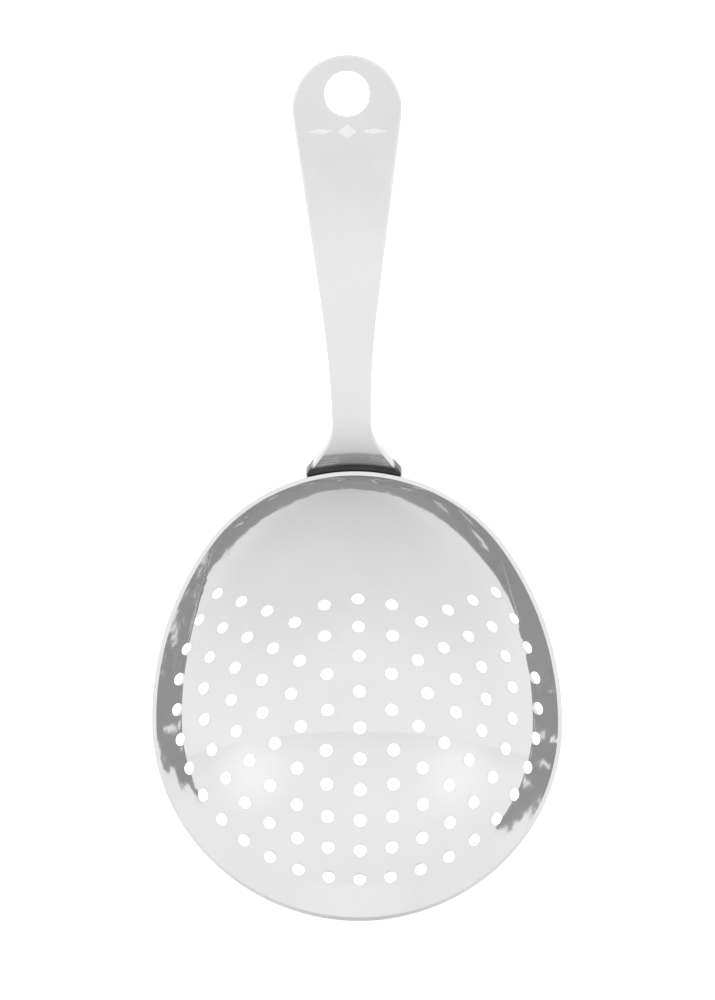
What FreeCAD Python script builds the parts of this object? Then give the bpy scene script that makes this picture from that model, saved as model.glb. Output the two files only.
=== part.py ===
"""Bar strainer: a perforated bowl, a bent strap handle and the spot welds that join them.

Frame: millimetres. The rim lies in the plane Y = 0 and the bowl opens towards -Y.
+Z runs up the handle. The origin is the centre of the rim's round end.
"""
import FreeCAD, Part
import math
import os

import Sketcher
from FreeCAD import Placement, Rotation, Vector

os.makedirs("parts", exist_ok=True)
doc = FreeCAD.newDocument("bar_strainer")

# alias, value, what the value is (millimetres, or degrees where it says so)
DIMENSIONS = (
    # bowl
    ("rim_radius", 39.25, "outer radius of the round half of the rim"),
    ("bowl_length", 88.35, "rim, from its round end to its tip at the handle"),
    ("tip_radius", 35.0, "outer radius of the rim at its tip"),
    ("bowl_depth", 17.8, "rim plane to the deepest point inside"),
    ("dome_radius", 51.3, "inner radius of the dome"),
    ("dome_stretch", 1.24, "how much longer the dome is on its handle side"),
    ("wall_draft", 41.0, "degrees, lean of the wall from the rim's axis"),
    ("knuckle_radius", 9.0, "inner radius between dome and wall"),
    ("sheet_thickness", 0.8, "bowl sheet"),
    ("rim_rounding", 0.2, "rounding of both edges of the rim"),
    # perforations
    ("perforation_rise", 1.87, "round end's centre to the middle of the ring pattern"),
    ("perforation", 2.4, "diameter of one perforation"),
    ("first_ring", 7.3, "centre hole to the first ring, along the dome"),
    ("ring_pitch", 6.15, "ring to ring, along the dome"),
    # handle
    ("overall_length", 166.0, "round end of the rim to the top of the handle"),
    ("strap_thickness", 1.8, "handle strap"),
    ("end_radius", 9.85, "rounded top end of the handle"),
    ("neck_width", 7.3, "narrowest width of the handle"),
    ("neck_offset", 10.3, "rim tip to the narrowest place"),
    ("neck_radius", 160.0, "hollow of the long sides"),
    ("flare_radius", 11.0, "hollow where the foot widens"),
    ("flare_angle", 33.0, "degrees, slope of the foot's sides"),
    ("foot_width", 18.0, "width of the foot"),
    ("bend_radius", 36.0, "front face of the bend between strap and foot"),
    ("bend_start", 0.5, "rim plane to the start of the bend"),
    ("foot_depth", 6.6, "how far the foot reaches down the wall"),
    ("foot_corner", 2.5, "corner radius of the foot"),
    ("strap_rounding", 0.5, "rounding of the handle's outline, front and back"),
    ("hang_hole", 8.0, "diameter of the hanging hole"),
    ("hang_hole_inset", 6.95, "top of the handle to the centre of the hanging hole"),
    ("hole_rounding", 0.3, "rounding of both edges of the hanging hole"),
    # spot welds
    ("weld_diameter", 2.4, "one weld nugget"),
    ("weld_depth", 0.4, "how far a nugget reaches into each sheet"),
    ("weld_spacing", 5.6, "nugget to nugget, around the wall"),
    ("weld_inset", 2.2, "rim plane to the nuggets' centres"),
)

# How many of its 6 * n places each ring n fills on either side of the round end.
# None is a whole ring; the outer rings stay open towards the handle.
RING_REACH = (None, None, None, None, 9, 11, 13)
# Places of the weld nuggets, in spacings from the middle of the foot.
WELD_PLACES = (-1, 0, 1)

ORIGIN = Vector(0, 0, 0)
SKETCH_NORMAL = Vector(0, 0, 1)
START, END, CENTRE = 1, 2, 3
SKETCH_ORIGIN = (-1, 1)
H_AXIS, V_AXIS = -1, -2
# Working sizes that leave no trace in the finished pieces.
PAD_LENGTH = 40.0
WASTE_MARGIN = 15.0
REVOLVED_ANGLE = 50.0
DRILL_OVERRUN = 3.0
# An edge across the strap is shorter than this many thicknesses.
ACROSS_STRAP = 1.5
# Two lengths closer than this are the same.
TOUCHING = 1e-4


# ---------------------------------------------------------------- driving values

sheet = doc.addObject("Spreadsheet::Sheet", "Dims")
for row, (alias, value, meaning) in enumerate(DIMENSIONS, start=1):
    sheet.set("A%d" % row, meaning)
    sheet.set("B%d" % row, str(value))
    sheet.setAlias("B%d" % row, alias)
doc.recompute()


def dim(alias):
    """The value of one cell of the sheet."""
    return float(getattr(sheet, alias))


def tip_centre():
    """Z of the centre of the rim's tip arc."""
    return dim("bowl_length") - dim("rim_radius") - dim("tip_radius")


def tip_height():
    """Z of the rim's outermost point at the handle."""
    return dim("bowl_length") - dim("rim_radius")


def handle_top():
    """Z of the top of the handle."""
    return dim("overall_length") - dim("rim_radius")


TIP_CENTRE = "(Dims.bowl_length - Dims.rim_radius - Dims.tip_radius)"
TIP_HEIGHT = "(Dims.bowl_length - Dims.rim_radius)"
HANDLE_TOP = "(Dims.overall_length - Dims.rim_radius)"
DRAFT = "(Dims.wall_draft * 1 deg)"


# ---------------------------------------------------------------- helpers

def origin_plane(body, role):
    """One origin plane or axis of a body."""
    return next(f for f in body.Origin.OriginFeatures if f.Role == role)


def new_sketch(body, name, plane):
    """A sketch on one of the body's own origin planes."""
    sketch = body.newObject("Sketcher::SketchObject", name)
    sketch.AttachmentSupport = [(origin_plane(body, plane), "")]
    sketch.MapMode = "FlatFace"
    return sketch


def circle_arc(centre, radius, start, end):
    """An arc drawn counter-clockwise between two angles in radians."""
    return Part.ArcOfCircle(Part.Circle(centre, SKETCH_NORMAL, radius), start, end)


def constrain(sketch, kind, *arguments):
    """Add one geometric constraint."""
    sketch.addConstraint(Sketcher.Constraint(kind, *arguments))


def drive(sketch, name, expression, kind, *arguments):
    """Add one dimension, name it and bind it to the sheet."""
    index = sketch.addConstraint(Sketcher.Constraint(kind, *arguments))
    sketch.renameConstraint(index, name)
    sketch.setExpression("Constraints.%s" % name, expression)


def middle_of(edge):
    """The point halfway along an edge."""
    return edge.valueAt((edge.FirstParameter + edge.LastParameter) / 2)


def ends_of(edge):
    """The end points of an edge."""
    return [vertex.Point for vertex in edge.Vertexes]


def fillet(body, name, is_wanted, radius):
    """Round the edges of the body's last feature that pass a test of (shape, edge)."""
    base = body.Tip
    edges = ["Edge%d" % index for index, edge in enumerate(base.Shape.Edges, start=1)
             if is_wanted(base.Shape, edge)]
    feature = body.newObject("PartDesign::Fillet", name)
    feature.Base = (base, edges)
    feature.setExpression("Radius", radius)
    doc.recompute()
    return feature


def boolean(body, name, kind, tool):
    """Combine a body with another body."""
    feature = body.newObject("PartDesign::Boolean", name)
    feature.setObjects([tool])
    feature.Type = kind
    doc.recompute()
    return feature


# ---------------------------------------------------------------- bowl

def egg_sketch(body, name, inset):
    """The rim outline: a half circle, two long side arcs and a tip arc, all tangent.

    inset is an expression for how far the outline lies inside the outer one.
    """
    shrink = dim("sheet_thickness") / math.cos(math.radians(dim("wall_draft"))) if inset else 0.0
    width = dim("rim_radius") - shrink
    tip = dim("tip_radius") - shrink
    height = tip_centre()
    side = (width ** 2 + height ** 2 - tip ** 2) / (2 * (width - tip))
    turn = math.atan2(height, side - width)

    sketch = new_sketch(body, name, "XZ_Plane")
    round_end, right, top, left = sketch.addGeometry([
        circle_arc(ORIGIN, width, math.pi, 2 * math.pi),
        circle_arc(Vector(width - side, 0, 0), side, 0, turn),
        circle_arc(Vector(0, height, 0), tip, turn, math.pi - turn),
        circle_arc(Vector(side - width, 0, 0), side, math.pi - turn, math.pi),
    ])
    constrain(sketch, "Coincident", round_end, CENTRE, *SKETCH_ORIGIN)
    constrain(sketch, "PointOnObject", right, CENTRE, H_AXIS)
    constrain(sketch, "PointOnObject", left, CENTRE, H_AXIS)
    constrain(sketch, "PointOnObject", top, CENTRE, V_AXIS)
    constrain(sketch, "Tangent", round_end, END, right, START)
    constrain(sketch, "Tangent", right, END, top, START)
    constrain(sketch, "Tangent", top, END, left, START)
    constrain(sketch, "Tangent", left, END, round_end, START)
    offset = " - %s" % inset if inset else ""
    drive(sketch, "round_end", "Dims.rim_radius" + offset, "Radius", round_end, width)
    drive(sketch, "tip", "Dims.tip_radius" + offset, "Radius", top, tip)
    drive(sketch, "tip_height", TIP_CENTRE, "DistanceY", *SKETCH_ORIGIN, top, CENTRE, height)
    return sketch


def dome_body(name, inset):
    """The dome as a solid: a half ball, and a longer half ellipsoid on the handle side.

    inset is what an expression for the outer radius takes off to reach this surface.
    """
    body = doc.addObject("PartDesign::Body", name)
    ball = doc.addObject("PartDesign::AdditiveSphere", name + "_ball")
    body.addObject(ball)
    ball.Angle1 = -90
    ball.Angle2 = 0
    long_half = doc.addObject("PartDesign::AdditiveEllipsoid", name + "_long_half")
    body.addObject(long_half)
    long_half.Angle1 = 0
    long_half.Angle2 = 90
    radius = "(Dims.dome_radius + Dims.sheet_thickness%s)" % inset
    ball.setExpression("Radius", radius)
    long_half.setExpression("Radius1", radius + " * Dims.dome_stretch")
    long_half.setExpression("Radius2", radius)
    long_half.setExpression("Radius3", radius)
    for half in (ball, long_half):
        half.setExpression("Placement.Base.y", "Dims.bowl_depth - Dims.dome_radius")
    doc.recompute()
    return body


def is_knuckle(shape, edge):
    """The edge between the drafted wall and the dome, all round."""
    clear_of_rim = min(point.y for point in ends_of(edge)) > TOUCHING
    where_the_halves_meet = abs(middle_of(edge).z) < TOUCHING
    return clear_of_rim and not where_the_halves_meet


def is_rim(shape, edge):
    """Both edges of the rim's flat face."""
    return all(abs(point.y) < TOUCHING for point in ends_of(edge) + [middle_of(edge)])


def bowl_form(name, inside):
    """A solid bowl shape: the drafted rim outline, cut by the dome and rounded at the knuckle.

    inside is true for the hollow and false for the outer form.
    """
    outline_inset = "Dims.sheet_thickness / cos(%s)" % DRAFT if inside else ""
    dome_inset = " - Dims.sheet_thickness" if inside else ""
    dome = dome_body(name + "_dome", dome_inset)
    body = doc.addObject("PartDesign::Body", name)
    outline = egg_sketch(body, name + "_outline", outline_inset)
    doc.recompute()
    wall = body.newObject("PartDesign::Pad", name + "_wall")
    wall.Profile = outline
    wall.Length = PAD_LENGTH
    wall.Reversed = True
    wall.setExpression("TaperAngle", "-Dims.wall_draft")
    doc.recompute()
    boolean(body, name + "_domed", "Common", dome)
    fillet(body, name + "_knuckle", is_knuckle,
           "Dims.knuckle_radius + Dims.sheet_thickness%s" % dome_inset)
    return body


def dome_point(x, z):
    """Middle of the sheet on the dome at X and Z, and the outward normal there."""
    radius = dim("dome_radius") + dim("sheet_thickness") / 2
    stretch = dim("dome_stretch") if z > 0 else 1.0
    centre = dim("bowl_depth") - dim("dome_radius")
    y = math.sqrt(radius ** 2 - x ** 2 - (z / stretch) ** 2)
    normal = Vector(x, y, z / stretch ** 2).normalize()
    return Vector(x, centre + y, z), normal


def perforation_places():
    """X and Z of every perforation: rings of 6, 12, 18 ... holes around one centre hole."""
    rise = dim("perforation_rise")
    places = [(0.0, rise)]
    for ring in range(1, len(RING_REACH)):
        along_dome = dim("first_ring") + (ring - 1) * dim("ring_pitch")
        radius = dim("dome_radius") * math.sin(along_dome / dim("dome_radius"))
        count = 6 * ring
        reach = RING_REACH[ring]
        steps = range(count) if reach is None else range(-reach, reach + 1)
        for step in steps:
            angle = 2 * math.pi * step / count
            places.append((radius * math.sin(angle), rise - radius * math.cos(angle)))
    return places


def perforation_drills():
    """One drill square to the sheet for every perforation."""
    length = dim("sheet_thickness") + 2 * DRILL_OVERRUN
    drills = []
    for x, z in perforation_places():
        point, normal = dome_point(x, z)
        start = point - normal * (length / 2)
        drills.append(Part.makeCylinder(dim("perforation") / 2, length, start, normal))
    feature = doc.addObject("Part::Feature", "perforation_drills")
    feature.Shape = Part.makeCompound(drills)
    feature.Placement = Placement()
    return feature


def bowl_sheet():
    """The bowl before perforation: outer form less inner form, with a rounded rim."""
    inner = bowl_form("bowl_inside", True)
    outer = bowl_form("bowl_outside", False)
    boolean(outer, "bowl_hollow", "Cut", inner)
    fillet(outer, "bowl_rim", is_rim, "Dims.rim_rounding")
    return outer


# ---------------------------------------------------------------- handle

def strap_profile(body):
    """Side profile of the bent strap: foot along the bowl's wall, bend, straight handle.

    The sketch's origin lies on the axis of the rim's tip arc.
    """
    lean = math.radians(dim("wall_draft"))
    thick = dim("strap_thickness")
    bend = dim("bend_radius")
    along = Vector(-math.cos(lean), math.sin(lean), 0)
    outward = Vector(math.sin(lean), math.cos(lean), 0)
    depth = dim("foot_depth")
    foot = Vector(depth, dim("tip_radius") - depth * math.tan(lean), 0)
    bend_from = foot + along * ((depth + dim("bend_start")) / math.cos(lean))
    centre = bend_from + outward * bend
    front = Vector(centre.x - bend, centre.y, 0)
    top = handle_top() - tip_centre() + WASTE_MARGIN
    back = front + Vector(thick, 0, 0)
    bend_back = bend_from + outward * thick
    foot_back = foot + outward * thick

    sketch = new_sketch(body, "strap_profile", "YZ_Plane")
    sketch.AttachmentOffset = Placement(Vector(0, tip_centre(), 0), Rotation())
    sketch.setExpression("AttachmentOffset.Base.y", TIP_CENTRE)
    lines = [
        Part.LineSegment(foot, bend_from),
        circle_arc(centre, bend, math.pi, 1.5 * math.pi - lean),
        Part.LineSegment(front, Vector(front.x, top, 0)),
        Part.LineSegment(Vector(front.x, top, 0), Vector(back.x, top, 0)),
        Part.LineSegment(Vector(back.x, top, 0), back),
        circle_arc(centre, bend - thick, math.pi, 1.5 * math.pi - lean),
        Part.LineSegment(bend_back, foot_back),
        Part.LineSegment(foot_back, foot),
    ]
    wall, bow, face, end, rear, hollow, outside, toe = sketch.addGeometry(lines)
    constrain(sketch, "Tangent", wall, END, bow, END)
    constrain(sketch, "Tangent", bow, START, face, START)
    constrain(sketch, "Coincident", face, END, end, START)
    constrain(sketch, "Coincident", end, END, rear, START)
    constrain(sketch, "Tangent", rear, END, hollow, START)
    constrain(sketch, "Tangent", hollow, END, outside, START)
    constrain(sketch, "Coincident", outside, END, toe, START)
    constrain(sketch, "Coincident", toe, END, wall, START)
    constrain(sketch, "Coincident", bow, CENTRE, hollow, CENTRE)
    constrain(sketch, "Vertical", face)
    constrain(sketch, "Vertical", rear)
    constrain(sketch, "Horizontal", end)
    constrain(sketch, "Parallel", outside, wall)
    constrain(sketch, "Perpendicular", toe, wall)
    drive(sketch, "lean", "180 - Dims.wall_draft", "Angle", H_AXIS, START, wall, START,
          math.pi - lean)
    drive(sketch, "bend", "Dims.bend_radius", "Radius", bow, bend)
    drive(sketch, "thickness", "Dims.strap_thickness", "DistanceX", end, START, end, END, thick)
    drive(sketch, "foot_depth", "Dims.foot_depth", "DistanceX", *SKETCH_ORIGIN, wall, START, depth)
    drive(sketch, "foot_height", "Dims.tip_radius - Dims.foot_depth * tan(%s)" % DRAFT,
          "DistanceY", *SKETCH_ORIGIN, wall, START, foot.y)
    drive(sketch, "bend_start", "Dims.bend_start", "DistanceX", wall, END, *SKETCH_ORIGIN,
          dim("bend_start"))
    drive(sketch, "length", "%s - %s + %g" % (HANDLE_TOP, TIP_CENTRE, WASTE_MARGIN),
          "DistanceY", *SKETCH_ORIGIN, face, END, top)
    return sketch


def strap_waste(body):
    """What is trimmed off one side of the revolved strap to leave its outline."""
    end = dim("end_radius")
    neck = dim("neck_radius")
    flare = dim("flare_radius")
    slope = math.radians(dim("flare_angle"))
    narrow = Vector(dim("neck_width") / 2, tip_height() + dim("neck_offset"), 0)
    end_centre = Vector(0, handle_top() - end, 0)
    neck_centre = narrow + Vector(neck, 0, 0)
    flare_centre = narrow + Vector(flare, 0, 0)
    between = neck_centre - end_centre
    tangent = math.atan2(between.y, between.x) + math.acos((end + neck) / between.Length)
    across = Vector(math.cos(tangent), math.sin(tangent), 0)
    side_top = end_centre + across * end
    side_foot = neck_centre - across * neck
    corner = dim("foot_corner")
    across_foot = Vector(math.cos(slope), math.sin(slope), 0)
    flare_end = flare_centre - across_foot * flare
    shoulder_x = dim("foot_width") / 2 - corner
    shoulder_top = Vector(shoulder_x, 0, 0) + across_foot * corner
    shoulder_top.y = flare_end.y - (shoulder_top.x - flare_end.x) / math.tan(slope)
    shoulder_centre = shoulder_top - across_foot * corner
    shoulder_end = shoulder_centre + Vector(corner, 0, 0)
    low = tip_centre()
    high = handle_top() + 2 * WASTE_MARGIN
    foot = Vector(shoulder_end.x, low, 0)
    corner_low = Vector(handle_top(), low, 0)
    corner_high = Vector(handle_top(), high, 0)
    axis_high = Vector(0, high, 0)
    top = Vector(0, handle_top(), 0)

    sketch = new_sketch(body, "strap_waste", "XZ_Plane")
    (crown, side, long_hollow, short_hollow, foot_side, shoulder, foot_edge,
     below, right, above, axis) = sketch.addGeometry([
        circle_arc(end_centre, end, tangent, math.pi / 2),
        Part.LineSegment(side_top, side_foot),
        circle_arc(neck_centre, neck, math.pi + tangent, math.pi),
        circle_arc(flare_centre, flare, math.pi, math.pi + slope),
        Part.LineSegment(flare_end, shoulder_top),
        circle_arc(shoulder_centre, corner, 0, slope),
        Part.LineSegment(shoulder_end, foot),
        Part.LineSegment(foot, corner_low),
        Part.LineSegment(corner_low, corner_high),
        Part.LineSegment(corner_high, axis_high),
        Part.LineSegment(axis_high, top),
    ])
    constrain(sketch, "Tangent", crown, START, side, START)
    constrain(sketch, "Tangent", side, END, long_hollow, START)
    constrain(sketch, "Tangent", long_hollow, END, short_hollow, START)
    constrain(sketch, "Tangent", short_hollow, END, foot_side, START)
    constrain(sketch, "Tangent", foot_side, END, shoulder, END)
    constrain(sketch, "Tangent", shoulder, START, foot_edge, START)
    constrain(sketch, "Coincident", foot_edge, END, below, START)
    constrain(sketch, "Coincident", below, END, right, START)
    constrain(sketch, "Coincident", right, END, above, START)
    constrain(sketch, "Coincident", above, END, axis, START)
    constrain(sketch, "Coincident", axis, END, crown, END)
    for line in (below, above):
        constrain(sketch, "Horizontal", line)
    for line in (foot_edge, right, axis):
        constrain(sketch, "Vertical", line)
    constrain(sketch, "PointOnObject", crown, CENTRE, V_AXIS)
    constrain(sketch, "PointOnObject", crown, END, V_AXIS)
    constrain(sketch, "Horizontal", long_hollow, CENTRE, long_hollow, END)
    drive(sketch, "end_radius", "Dims.end_radius", "Radius", crown, end)
    drive(sketch, "neck_radius", "Dims.neck_radius", "Radius", long_hollow, neck)
    drive(sketch, "flare_radius", "Dims.flare_radius", "Radius", short_hollow, flare)
    drive(sketch, "top", HANDLE_TOP, "DistanceY", *SKETCH_ORIGIN, crown, END, top.y)
    drive(sketch, "half_neck", "Dims.neck_width / 2", "DistanceX",
          *SKETCH_ORIGIN, long_hollow, END, narrow.x)
    drive(sketch, "neck_height", "%s + Dims.neck_offset" % TIP_HEIGHT, "DistanceY",
          *SKETCH_ORIGIN, long_hollow, END, narrow.y)
    drive(sketch, "low", TIP_CENTRE, "DistanceY", *SKETCH_ORIGIN, foot_edge, END, low)
    drive(sketch, "foot_corner", "Dims.foot_corner", "Radius", shoulder, corner)
    drive(sketch, "half_foot", "Dims.foot_width / 2", "DistanceX",
          *SKETCH_ORIGIN, foot_edge, END, foot.x)
    drive(sketch, "flare_slope", "270 + Dims.flare_angle", "Angle", H_AXIS, START, foot_side, START,
          math.radians(270) + slope)
    drive(sketch, "waste_width", HANDLE_TOP, "DistanceX", *SKETCH_ORIGIN, right, START, top.y)
    drive(sketch, "high", "%s + %g" % (HANDLE_TOP, 2 * WASTE_MARGIN), "DistanceY",
          *SKETCH_ORIGIN, axis, START, high)
    return sketch


def pocket_through(body, name, sketch):
    """Cut a sketch right through the body, both ways."""
    before = body.Shape.Volume
    pocket = body.newObject("PartDesign::Pocket", name)
    pocket.Profile = sketch
    pocket.Type = "ThroughAll"
    pocket.Midplane = True
    doc.recompute()
    if not pocket.Shape.Volume < before:
        raise RuntimeError("%s cuts nothing" % name)
    return pocket


def is_toe_corner(shape, edge):
    """The two short edges at the end of the foot."""
    across_the_strap = edge.Length < ACROSS_STRAP * dim("strap_thickness")
    return across_the_strap and min(point.y for point in ends_of(edge)) > dim("foot_depth") / 2


def is_broad(face):
    """A front or back face of the strap, as against its sides."""
    surface = face.Surface
    kind = type(surface).__name__
    if kind == "Plane":
        return abs(surface.Axis.y) > abs(surface.Axis.x) + abs(surface.Axis.z)
    if kind == "Cone":
        return abs(surface.SemiAngle) < math.pi / 4
    return kind == "Toroid"


def is_outline(shape, edge):
    """Every edge between a broad face and a side of the strap."""
    owners = [face for face in shape.Faces if any(edge.isSame(other) for other in face.Edges)]
    return sum(is_broad(face) for face in owners) == 1


def is_hang_hole(shape, edge):
    """Both edges of the hanging hole."""
    from_hole = middle_of(edge) - Vector(0, middle_of(edge).y, handle_top() - dim("hang_hole_inset"))
    return edge.Closed and abs(from_hole.Length - dim("hang_hole") / 2) < TOUCHING


def strap_body():
    """The handle: revolved about the rim tip's axis so that its foot hugs the bowl's wall."""
    body = doc.addObject("PartDesign::Body", "strap")
    profile = strap_profile(body)
    doc.recompute()
    revolved = body.newObject("PartDesign::Revolution", "strap_revolved")
    revolved.Profile = profile
    revolved.ReferenceAxis = (profile, ["H_Axis"])
    revolved.Angle = REVOLVED_ANGLE
    revolved.Midplane = True
    doc.recompute()
    waste = strap_waste(body)
    doc.recompute()
    trimmed = pocket_through(body, "strap_trimmed", waste)
    mirrored = body.newObject("PartDesign::Mirrored", "strap_both_sides")
    mirrored.Originals = [trimmed]
    mirrored.MirrorPlane = (origin_plane(body, "YZ_Plane"), [""])
    body.Tip = mirrored
    doc.recompute()

    fillet(body, "toe_corners", is_toe_corner, "Dims.foot_corner")
    fillet(body, "outline_edges", is_outline, "Dims.strap_rounding")

    hole = new_sketch(body, "hang_hole_outline", "XZ_Plane")
    height = handle_top() - dim("hang_hole_inset")
    circle = hole.addGeometry(Part.Circle(Vector(0, height, 0), SKETCH_NORMAL, dim("hang_hole") / 2))
    constrain(hole, "PointOnObject", circle, CENTRE, V_AXIS)
    drive(hole, "diameter", "Dims.hang_hole", "Diameter", circle, dim("hang_hole"))
    drive(hole, "height", "%s - Dims.hang_hole_inset" % HANDLE_TOP, "DistanceY",
          *SKETCH_ORIGIN, circle, CENTRE, height)
    doc.recompute()
    pocket_through(body, "hang_hole", hole)
    fillet(body, "hang_hole_edges", is_hang_hole, "Dims.hole_rounding")
    return body


# ---------------------------------------------------------------- spot welds

def weld_group():
    """A row of nuggets where the foot lies on the wall, each square to the wall."""
    lean = math.radians(dim("wall_draft"))
    radius = dim("tip_radius") - dim("weld_inset") * math.tan(lean)
    nuggets = []
    for place in WELD_PLACES:
        turn = place * dim("weld_spacing") / radius
        radial = Vector(math.sin(turn), 0, math.cos(turn))
        normal = radial * math.cos(lean) + Vector(0, math.sin(lean), 0)
        centre = Vector(0, dim("weld_inset"), tip_centre()) + radial * radius
        nugget = doc.addObject("Part::Cylinder", "nugget")
        nugget.setExpression("Radius", "Dims.weld_diameter / 2")
        nugget.setExpression("Height", "2 * Dims.weld_depth")
        nugget.Placement = Placement(centre - normal * dim("weld_depth"),
                                     Rotation(Vector(0, 0, 1), normal))
        nuggets.append(nugget)
    group = doc.addObject("Part::Compound", "nuggets")
    group.Links = nuggets
    doc.recompute()
    return group


# ---------------------------------------------------------------- assembly

def cut(name, base, tool):
    """One shape less another."""
    feature = doc.addObject("Part::Cut", name)
    feature.Base = base
    feature.Tool = tool
    doc.recompute()
    return feature


def check_document(nodes):
    """Stop if any object failed, or a node is not made of the solids it should be."""
    for item in doc.Objects:
        if "Invalid" in item.State or "Error" in item.State:
            raise RuntimeError("%s failed: %s" % (item.Name, item.State))
        if item.TypeId == "Sketcher::SketchObject" and not item.FullyConstrained:
            raise RuntimeError("%s is not fully constrained" % item.Name)
    for node, count in nodes:
        shape = node.Shape
        if shape.isNull() or not shape.isValid():
            raise RuntimeError("%s has no valid shape" % node.Label)
        if len(shape.Solids) != count:
            raise RuntimeError("%s has %d solids" % (node.Label, len(shape.Solids)))


def main():
    nuggets = weld_group()
    perforated = cut("perforated_sheet", bowl_sheet(), perforation_drills())
    bowl = cut("bowl", perforated, nuggets)
    handle = cut("handle", strap_body(), nuggets)
    nuggets.Label = "weld_nuggets"
    nodes = ((bowl, 1), (handle, 1), (nuggets, len(WELD_PLACES)))
    check_document(nodes)
    for node, _ in nodes:
        node.Shape.exportStep("parts/%s.step" % node.Label)
        box = node.Shape.optimalBoundingBox()
        print("%-13s %8.1f mm3  X %.2f..%.2f  Y %.2f..%.2f  Z %.2f..%.2f" % (
            node.Label, node.Shape.Volume, box.XMin, box.XMax, box.YMin, box.YMax, box.ZMin, box.ZMax))


main()
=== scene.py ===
"""Looks of the bar strainer: polished steel sheet in a white studio.

Shapes are worked out in millimetres, from the same driving sizes as the CAD model, and
stored in metres. The rim lies in the plane Y = 0, the bowl opens towards -Y, and +Z runs
up the handle. A sheet is described by its front face as a function of two coordinates,
and its back face, its rounded edges and its holes follow from that face.
"""
import math

import bpy
import numpy as np
from mathutils import Matrix, Vector
from mathutils.geometry import delaunay_2d_cdt


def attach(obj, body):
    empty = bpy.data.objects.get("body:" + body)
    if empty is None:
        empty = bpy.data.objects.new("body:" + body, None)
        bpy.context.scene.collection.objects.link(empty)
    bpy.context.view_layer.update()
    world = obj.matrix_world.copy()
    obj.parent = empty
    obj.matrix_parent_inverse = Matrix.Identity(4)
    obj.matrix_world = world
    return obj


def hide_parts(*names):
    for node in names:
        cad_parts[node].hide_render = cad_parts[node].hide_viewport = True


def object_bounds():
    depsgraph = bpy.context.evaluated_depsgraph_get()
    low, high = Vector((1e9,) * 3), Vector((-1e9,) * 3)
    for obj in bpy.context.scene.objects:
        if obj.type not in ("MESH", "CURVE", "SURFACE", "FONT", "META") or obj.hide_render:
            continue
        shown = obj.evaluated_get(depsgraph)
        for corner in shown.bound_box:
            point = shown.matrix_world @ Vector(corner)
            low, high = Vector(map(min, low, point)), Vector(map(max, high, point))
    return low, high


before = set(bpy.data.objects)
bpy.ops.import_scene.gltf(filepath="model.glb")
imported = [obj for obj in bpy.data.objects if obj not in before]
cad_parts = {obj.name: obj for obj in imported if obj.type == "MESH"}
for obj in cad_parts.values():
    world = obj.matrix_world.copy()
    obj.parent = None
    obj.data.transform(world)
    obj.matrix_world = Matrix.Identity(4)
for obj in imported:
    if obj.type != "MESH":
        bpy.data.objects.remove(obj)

cad_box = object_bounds()
MM = 0.001

# ---------------------------------------------------------------- sizes, in millimetres

RIM_RADIUS = 39.25
BOWL_LENGTH = 88.35
TIP_RADIUS = 35.0
BOWL_DEPTH = 17.8
DOME_RADIUS = 51.3
DOME_STRETCH = 1.24
WALL_DRAFT = math.radians(41.0)
KNUCKLE_RADIUS = 9.0
SHEET = 0.8
RIM_ROUNDING = 0.2

PERFORATION = 2.4
PUNCH_ROUNDING = 0.1
PERFORATION_RISE = 1.87
FIRST_RING = 7.3
RING_PITCH = 6.15
# How many places each ring fills on either side of the round end; None is a whole ring.
RING_REACH = (None, None, None, None, 9, 11, 13)

HANDLE_TOP = 166.0 - RIM_RADIUS
STRAP = 1.8
END_RADIUS = 9.85
NECK_WIDTH = 7.3
NECK_OFFSET = 10.3
NECK_RADIUS = 160.0
FLARE_RADIUS = 11.0
FLARE_SLOPE = math.radians(33.0)
FOOT_WIDTH = 18.0
BEND_RADIUS = 36.0
BEND_START = 0.5
FOOT_DEPTH = 6.6
FOOT_CORNER = 2.5
STRAP_ROUNDING = 0.5
HANG_HOLE = 8.0
HANG_HOLE_HEIGHT = HANDLE_TOP - 6.95
HOLE_ROUNDING = 0.3

TIP_CENTRE = BOWL_LENGTH - RIM_RADIUS - TIP_RADIUS
TIP_HEIGHT = BOWL_LENGTH - RIM_RADIUS
TAN_DRAFT = math.tan(WALL_DRAFT)
SIN_DRAFT = math.sin(WALL_DRAFT)
COS_DRAFT = math.cos(WALL_DRAFT)

# ---------------------------------------------------------------- the bowl's inner face

# The knuckle starts and ends within this much of the rim, and is found by halving a range.
KNUCKLE_REACH = 16.0
KNUCKLE_RANGE = 20.0
HALVINGS = 40
INNER_RIM = RIM_RADIUS - SHEET / COS_DRAFT
INNER_TIP = TIP_RADIUS - SHEET / COS_DRAFT
SIDE_RADIUS = (INNER_RIM ** 2 + TIP_CENTRE ** 2 - INNER_TIP ** 2) / (2 * (INNER_RIM - INNER_TIP))
SIDE_CENTRE = INNER_RIM - SIDE_RADIUS
SIDE_TURN = math.atan2(TIP_CENTRE, SIDE_RADIUS - INNER_RIM)


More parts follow.
